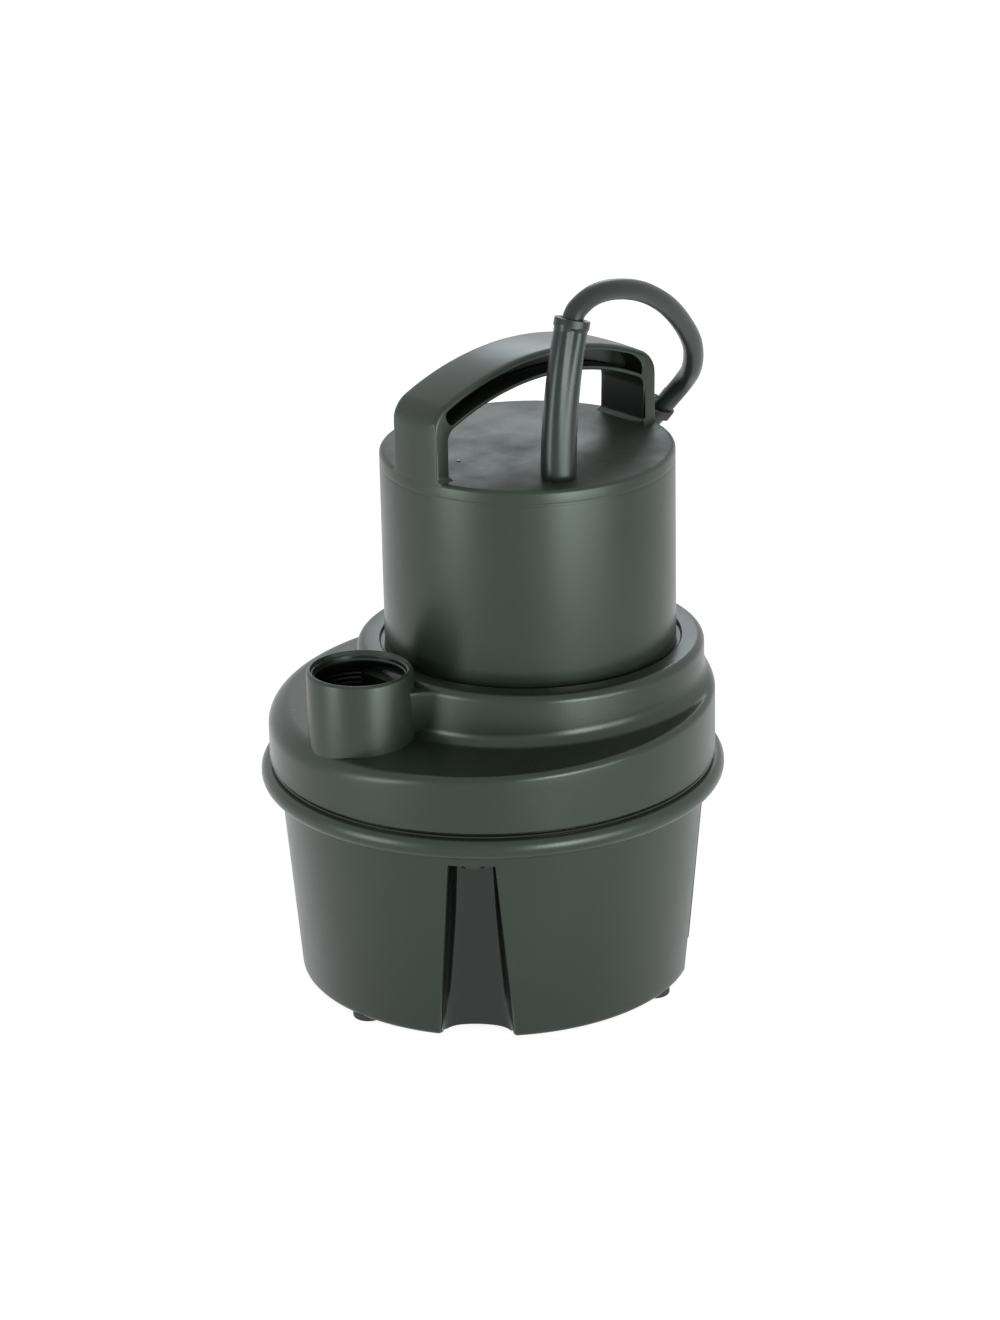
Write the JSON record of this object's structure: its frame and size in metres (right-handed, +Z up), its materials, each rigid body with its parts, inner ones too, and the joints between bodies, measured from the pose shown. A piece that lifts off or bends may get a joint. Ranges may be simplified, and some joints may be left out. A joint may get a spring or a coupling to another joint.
{
  "type": "submersible sump pump",
  "caption": "Compact submersible sump pump with an upright motor, arched carrying handle, upward side discharge, strainer base and a coiled supply cord.",
  "frame": {"origin": "centre of the base at the plane its feet stand on", "axes": "+Z up along the base and motor axes, +X along the handle towards the leg that holds the cord, discharge port on the -X side"},
  "size_m": [0.2852, 0.3062, 0.3208],
  "materials": {
    "housing_plastic": "satin dark grey-green moulding",
    "cord_jacket": "satin jacket",
    "sleeve_rubber": "glossier moulded sleeve",
    "black_rubber": "dull black",
    "black_nylon": "satin black nylon",
    "screen_plastic": "satin",
    "bearing_steel": "ground",
    "stainless": "plain",
    "laminated_steel": "varnished laminations",
    "copper_winding": "enamelled wire",
    "wire_insulation": "smooth",
    "plate_aluminium": "as cast",
    "seal_ceramic": "polished ceramic",
    "seal_carbon": "lapped carbon in a rubber boot",
    "impeller_plastic": "glass filled moulding",
    "plug_brass": "polished"
  },
  "bodies": {
    "pump": {"motor_housing": "housing_plastic", "cord_seal": "black_rubber", "cord_sleeve": "sleeve_rubber", "upper_bearing": "bearing_steel", "stator_core": "laminated_steel", "stator_winding": "copper_winding", "thermal_protector": "black_nylon", "lead_wires": "wire_insulation", "lower_bearing": "bearing_steel", "bearing_plate": "plate_aluminium", "bearing_plate_screws": "stainless", "housing_o_ring": "black_rubber", "seal_seat": "seal_ceramic", "pump_body": "housing_plastic", "body_screws": "stainless", "volute_plate": "screen_plastic", "volute_plate_screws": "stainless", "strainer_base": "housing_plastic", "base_screws": "stainless", "intake_screen": "screen_plastic", "rubber_feet": "black_rubber", "cable_tie": "black_nylon", "power_cord": "cord_jacket", "cord_coil": "cord_jacket", "coil_tie": "black_nylon", "plug_body": "black_rubber", "plug_blades": "plug_brass"},
    "rotor": {"rotor_core": "laminated_steel", "motor_shaft": "stainless", "seal_head": "seal_carbon", "seal_spring": "stainless", "impeller": "impeller_plastic", "impeller_nut": "stainless"}
  },
  "joints": [
    {"name": "rotor_spin", "type": "hinge", "parent": "pump", "child": "rotor", "pos_m": [0.02, -0.004, 0.18], "axis": [0, 0, 1], "continuous": true}
  ]
}
